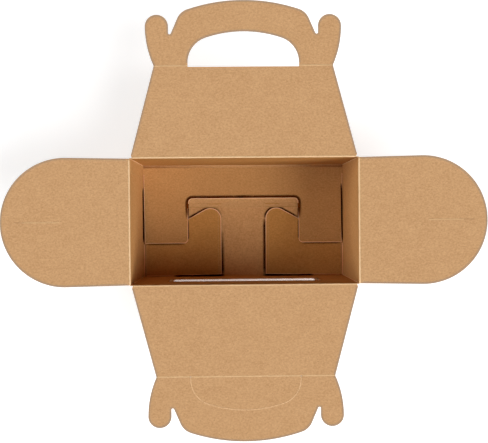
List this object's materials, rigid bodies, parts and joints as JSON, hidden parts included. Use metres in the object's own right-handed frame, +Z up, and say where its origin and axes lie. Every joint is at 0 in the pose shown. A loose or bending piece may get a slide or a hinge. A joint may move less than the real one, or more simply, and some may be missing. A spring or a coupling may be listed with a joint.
{
  "type": "gable box",
  "caption": "Kraft board gable box stood open: four walls with a filmed window, an interlocked bottom, sloping roof panels with arched handles and ears, and slit round end flaps.",
  "frame": {"origin": "middle of the underside of the box", "axes": "+X along the box to the right end flap, +Y towards the back wall, +Z up"},
  "size_m": [0.4854, 0.4392, 0.1146],
  "materials": {
    "kraft_board": "matt uncoated brown kraft board",
    "film": "clear glossy film"
  },
  "bodies": {
    "box": {"box_body": "kraft_board", "window_film": "film"},
    "back_roof": {"back_roof": "kraft_board"},
    "front_roof": {"front_roof": "kraft_board"},
    "back_handle": {"back_handle": "kraft_board"},
    "front_handle": {"front_handle": "kraft_board"},
    "finger_flap": {"finger_flap": "kraft_board"},
    "left_end": {"left_end_flap": "kraft_board"},
    "right_end": {"right_end_flap": "kraft_board"}
  },
  "joints": [
    {"name": "back_roof_fold", "type": "hinge", "parent": "box", "child": "back_roof", "pos_m": [0, 0.06325, 0.1143], "axis": [1, 0, 0], "range_deg": [-40, 133.73]},
    {"name": "front_roof_fold", "type": "hinge", "parent": "box", "child": "front_roof", "pos_m": [0, -0.06325, 0.1143], "axis": [-1, 0, 0], "range_deg": [-40, 133.73]},
    {"name": "back_handle_fold", "type": "hinge", "parent": "back_roof", "child": "back_handle", "pos_m": [0, 0.15425, 0.1143], "axis": [-1, 0, 0], "range_deg": [-45, 43.73]},
    {"name": "front_handle_fold", "type": "hinge", "parent": "front_roof", "child": "front_handle", "pos_m": [0, -0.15425, 0.1143], "axis": [1, 0, 0], "range_deg": [-45, 43.73]},
    {"name": "finger_flap_fold", "type": "hinge", "parent": "front_roof", "child": "finger_flap", "pos_m": [0, -0.15425, 0.1143], "axis": [-1, 0, 0], "range_deg": [-43.73, 36]},
    {"name": "left_end_fold", "type": "hinge", "parent": "box", "child": "left_end", "pos_m": [-0.11405, 0, 0.1143], "axis": [0, 1, 0], "range_deg": [-40, 110.24]},
    {"name": "right_end_fold", "type": "hinge", "parent": "box", "child": "right_end", "pos_m": [0.11405, 0, 0.1143], "axis": [0, -1, 0], "range_deg": [-40, 110.24]}
  ]
}
